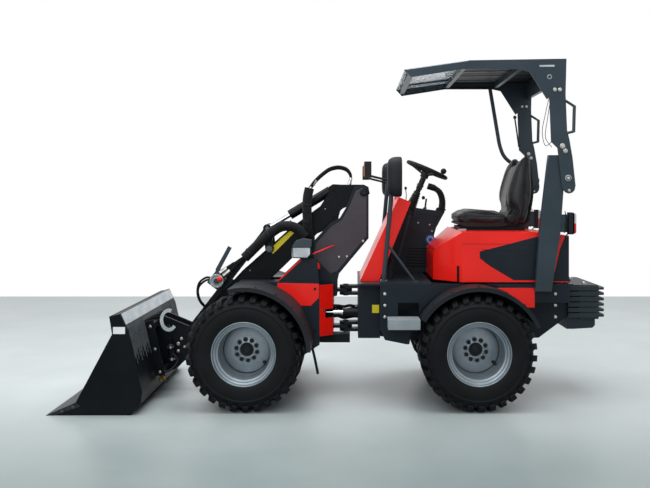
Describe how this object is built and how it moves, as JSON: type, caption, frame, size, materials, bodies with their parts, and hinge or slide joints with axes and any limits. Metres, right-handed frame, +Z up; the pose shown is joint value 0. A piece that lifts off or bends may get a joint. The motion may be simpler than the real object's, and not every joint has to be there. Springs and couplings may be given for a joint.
{
  "type": "mini wheel loader",
  "caption": "Compact articulated wheel loader with a folding canopy, a lift boom and an earth bucket on a tool coupler.",
  "frame": {"origin": "on the ground under the middle of the machine's overall box", "axes": "+X forward towards the bucket, +Y to the driver's left, +Z up"},
  "size_m": [3.766, 1.46, 2.347],
  "materials": {
    "dark_paint": "satin",
    "red_paint": "gloss",
    "black_paint": "gloss",
    "grey_paint": "satin",
    "rim_silver": "satin",
    "tyre_rubber": "matte",
    "black_plastic": "matte",
    "seat_vinyl": "satin",
    "cast_weight": "satin",
    "rod_chrome": "polished",
    "lamp_plastic": "gloss",
    "clear_panel": "gloss",
    "hose_rubber": "matte"
  },
  "bodies": {
    "rear_module": {"rear_frame": "dark_paint", "body_shell": "dark_paint", "rear_fenders": "black_plastic", "floor_plate": "dark_paint", "side_steps": "grey_paint", "dash_cowl": "red_paint", "side_console": "black_plastic", "steering_column": "black_plastic", "driver_controls": "black_plastic", "mirror_posts": "grey_paint", "mirrors": "black_plastic", "marker_lamps": "black_plastic", "tail_lights": "lamp_plastic", "lower_posts": "dark_paint", "engine_block": "cast_weight", "rear_axle": "cast_weight", "counterweight": "cast_weight", "articulation_hoses": "hose_rubber"},
    "hood": {"engine_hood": "red_paint", "seat_base": "black_plastic", "seat_cushion": "seat_vinyl", "seat_back": "seat_vinyl"},
    "canopy": {"canopy_frame": "dark_paint", "canopy_roof": "dark_paint", "canopy_window": "clear_panel", "grab_handles": "black_plastic"},
    "steering_wheel": {"steering_wheel": "black_plastic"},
    "front_module": {"front_frame": "dark_paint", "boom_tower": "dark_paint", "front_axle": "cast_weight", "front_fenders": "black_plastic", "headlights": "black_plastic", "headlight_stands": "dark_paint"},
    "boom": {"boom": "dark_paint", "multi_coupler": "grey_paint", "boom_hoses": "hose_rubber"},
    "coupler_pin": {"coupler_pin": "rod_chrome"},
    "lever_pin": {"lever_pin": "rod_chrome"},
    "link_pins": {"link_pins": "rod_chrome"},
    "tilt_piston": {"tilt_cylinder_piston": "rod_chrome"},
    "tilt_lever": {"tilt_lever": "black_paint"},
    "tilt_link": {"tilt_link": "black_paint"},
    "lift_barrel": {"lift_cylinder_barrel": "black_paint"},
    "lift_rod": {"lift_cylinder_rod": "rod_chrome"},
    "tilt_barrel": {"tilt_cylinder_barrel": "black_paint"},
    "tilt_rod": {"tilt_cylinder_rod": "rod_chrome"},
    "steering_barrel": {"steering_cylinder_barrel": "black_paint"},
    "steering_rod": {"steering_cylinder_rod": "rod_chrome"},
    "attachment": {"tool_coupler": "black_paint", "bucket": "black_paint"},
    "wheel_front_left": {"tyre_front_left": "tyre_rubber", "rim_front_left": "rim_silver"},
    "wheel_front_right": {"tyre_front_right": "tyre_rubber", "rim_front_right": "rim_silver"},
    "wheel_rear_left": {"tyre_rear_left": "tyre_rubber", "rim_rear_left": "rim_silver"},
    "wheel_rear_right": {"tyre_rear_right": "tyre_rubber", "rim_rear_right": "rim_silver"}
  },
  "joints": [
    {"name": "articulation", "type": "hinge", "parent": "rear_module", "child": "front_module", "pos_m": [-0.06, 0, 0.6], "axis": [0, 0, 1], "range_deg": [-40, 40], "deforming": ["articulation_hoses"]},
    {"name": "hood_hinge", "type": "hinge", "parent": "rear_module", "child": "hood", "pos_m": [-1.6, 0, 0.842], "axis": [0, -1, 0], "range_deg": [0, 45]},
    {"name": "canopy_fold", "type": "hinge", "parent": "rear_module", "child": "canopy", "pos_m": [-1.558, 0, 1.545], "axis": [0, 1, 0], "range_deg": [-130, 0]},
    {"name": "boom_lift", "type": "hinge", "parent": "front_module", "child": "boom", "pos_m": [-0.191, 0, 1.452], "axis": [0, -1, 0], "range_deg": [0, 75]},
    {"name": "bucket_levelling", "type": "hinge", "parent": "boom", "child": "coupler_pin", "pos_m": [1.065, 0, 0.3], "axis": [0, 1, 0], "range_deg": [0, 75]},
    {"name": "bucket_tilt", "type": "hinge", "parent": "coupler_pin", "child": "attachment", "pos_m": [1.065, 0, 0.3], "axis": [0, 1, 0], "range_deg": [-28, 42]},
    {"name": "lever_levelling", "type": "hinge", "parent": "boom", "child": "lever_pin", "pos_m": [0.495, 0, 1.04], "axis": [0, 1, 0], "range_deg": [0, 75]},
    {"name": "tilt_lever_pivot", "type": "hinge", "parent": "lever_pin", "child": "tilt_lever", "pos_m": [0.495, 0, 1.04], "axis": [0, 1, 0], "range_deg": [-29, 43]},
    {"name": "link_levelling", "type": "hinge", "parent": "tilt_lever", "child": "link_pins", "pos_m": [0.51068, 0, 1.18918], "axis": [0, 1, 0], "range_deg": [-75, 0]},
    {"name": "tilt_link_pivot", "type": "hinge", "parent": "link_pins", "child": "tilt_link", "pos_m": [0.51068, 0, 1.18918], "axis": [0, 1, 0], "range_deg": [-43, 29]},
    {"name": "tilt_barrel_pivot", "type": "hinge", "parent": "boom", "child": "tilt_barrel", "pos_m": [0.035, 0, 1.475], "axis": [0, 1, 0], "range_deg": [-1, 8]},
    {"name": "tilt_piston_slide", "type": "slide", "parent": "tilt_barrel", "child": "tilt_piston", "axis": [0.8572, 0, -0.515], "range_m": [-0.005, 0.17]},
    {"name": "tilt_rod_slide", "type": "slide", "parent": "tilt_piston", "child": "tilt_rod", "axis": [0.8572, 0, -0.515], "range_m": [-0.07, 0.1]},
    {"name": "lift_barrel_pivot", "type": "hinge", "parent": "front_module", "child": "lift_barrel", "pos_m": [0.115, 0, 0.56], "axis": [0, -1, 0], "range_deg": [-8, 2]},
    {"name": "lift_rod_slide", "type": "slide", "parent": "lift_barrel", "child": "lift_rod", "axis": [-0.1087, 0, 0.9941], "range_m": [-0.005, 0.45]},
    {"name": "steering_barrel_pivot", "type": "hinge", "parent": "rear_module", "child": "steering_barrel", "pos_m": [-0.29, 0.145, 0.59], "axis": [0, 0, 1], "range_deg": [-18, 18]},
    {"name": "steering_rod_slide", "type": "slide", "parent": "steering_barrel", "child": "steering_rod", "axis": [1, 0, 0], "range_m": [-0.1, 0.1]},
    {"name": "steering_wheel_turn", "type": "hinge", "parent": "rear_module", "child": "steering_wheel", "pos_m": [-0.658, 0, 1.615], "axis": [-0.4003, 0, 0.9164], "continuous": true},
    {"name": "wheel_front_left_spin", "type": "hinge", "parent": "front_module", "child": "wheel_front_left", "pos_m": [0.605, 0.503, 0.387], "axis": [0, 1, 0], "continuous": true},
    {"name": "wheel_front_right_spin", "type": "hinge", "parent": "front_module", "child": "wheel_front_right", "pos_m": [0.605, -0.503, 0.387], "axis": [0, 1, 0], "continuous": true},
    {"name": "wheel_rear_left_spin", "type": "hinge", "parent": "rear_module", "child": "wheel_rear_left", "pos_m": [-0.94, 0.503, 0.387], "axis": [0, 1, 0], "continuous": true},
    {"name": "wheel_rear_right_spin", "type": "hinge", "parent": "rear_module", "child": "wheel_rear_right", "pos_m": [-0.94, -0.503, 0.387], "axis": [0, 1, 0], "continuous": true}
  ],
  "couplings": [
    {"joint": "bucket_levelling", "follows": "boom_lift", "ratio": 1},
    {"joint": "lever_levelling", "follows": "boom_lift", "ratio": 1},
    {"joint": "link_levelling", "follows": "boom_lift", "ratio": -1},
    {"joint": "tilt_lever_pivot", "follows": "bucket_tilt", "ratio": 1},
    {"joint": "tilt_link_pivot", "follows": "bucket_tilt", "ratio": -1},
    {"joint": "tilt_barrel_pivot", "follows": "boom_lift", "ratio": 0.087},
    {"joint": "tilt_piston_slide", "follows": "boom_lift", "m_per_rad": 0.12},
    {"joint": "tilt_rod_slide", "follows": "bucket_tilt", "m_per_rad": 0.115},
    {"joint": "lift_barrel_pivot", "follows": "boom_lift", "ratio": -0.0821},
    {"joint": "lift_rod_slide", "follows": "boom_lift", "m_per_rad": 0.3139},
    {"joint": "steering_barrel_pivot", "follows": "articulation", "ratio": 0.416},
    {"joint": "steering_rod_slide", "follows": "articulation", "m_per_rad": -0.1419}
  ]
}
